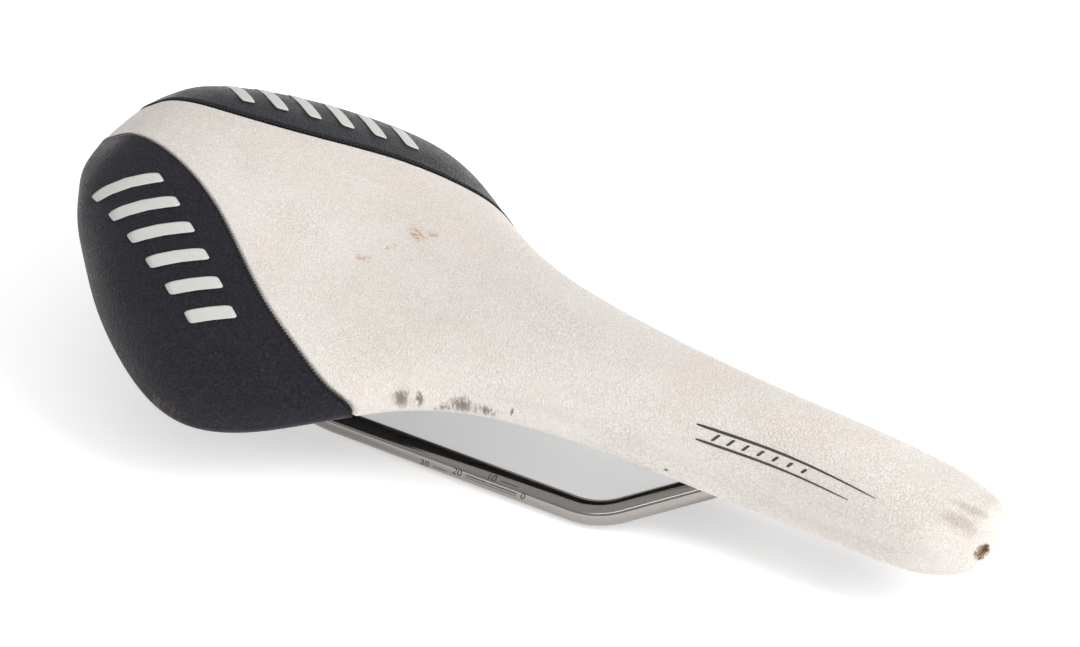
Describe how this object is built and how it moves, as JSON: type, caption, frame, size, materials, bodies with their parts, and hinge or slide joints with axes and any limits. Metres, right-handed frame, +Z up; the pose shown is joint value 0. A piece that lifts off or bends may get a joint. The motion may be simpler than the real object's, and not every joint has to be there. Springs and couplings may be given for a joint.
{
  "type": "bicycle saddle",
  "caption": "Long flat racing bicycle saddle with a narrow nose, drooping flared wings, a light centre panel with dark wing panels, and a bent metal rail underneath.",
  "frame": {"origin": "midway between the two rails' centrelines, at the middle of their straight clamp length", "axes": "+X towards the nose, +Y to the rider's left, +Z up"},
  "size_m": [0.2709, 0.1468, 0.0648],
  "materials": {
    "shell_nylon": "fine moulded texture",
    "padding_foam": "closed-cell foam",
    "cover_white": "satin synthetic leather, fine grain",
    "cover_black": "satin synthetic leather, coarser grain",
    "seam_thread": "fine zigzag thread",
    "rail_metal": "polished",
    "bush_plastic": "plain",
    "screw_steel": "zinc plated",
    "clip_plastic": "plain, lightly textured"
  },
  "bodies": {
    "saddle": {"base_shell": "shell_nylon", "foam_padding": "padding_foam", "cover_centre": "cover_white", "cover_wing_left": "cover_black", "cover_wing_right": "cover_black", "seam_stitching_left": "seam_thread", "seam_stitching_right": "seam_thread", "rail": "rail_metal", "rail_bush_left": "bush_plastic", "rail_bush_right": "bush_plastic", "nose_retainer": "shell_nylon", "nose_retainer_screws": "screw_steel", "clip_bracket": "shell_nylon", "clip_bracket_screws": "screw_steel"},
    "clip_cover": {"clip_cover": "clip_plastic"}
  },
  "joints": [
    {"name": "clip_cover_slide", "type": "slide", "parent": "saddle", "child": "clip_cover", "axis": [-1, 0, 0], "range_m": [0, 0.03]}
  ]
}
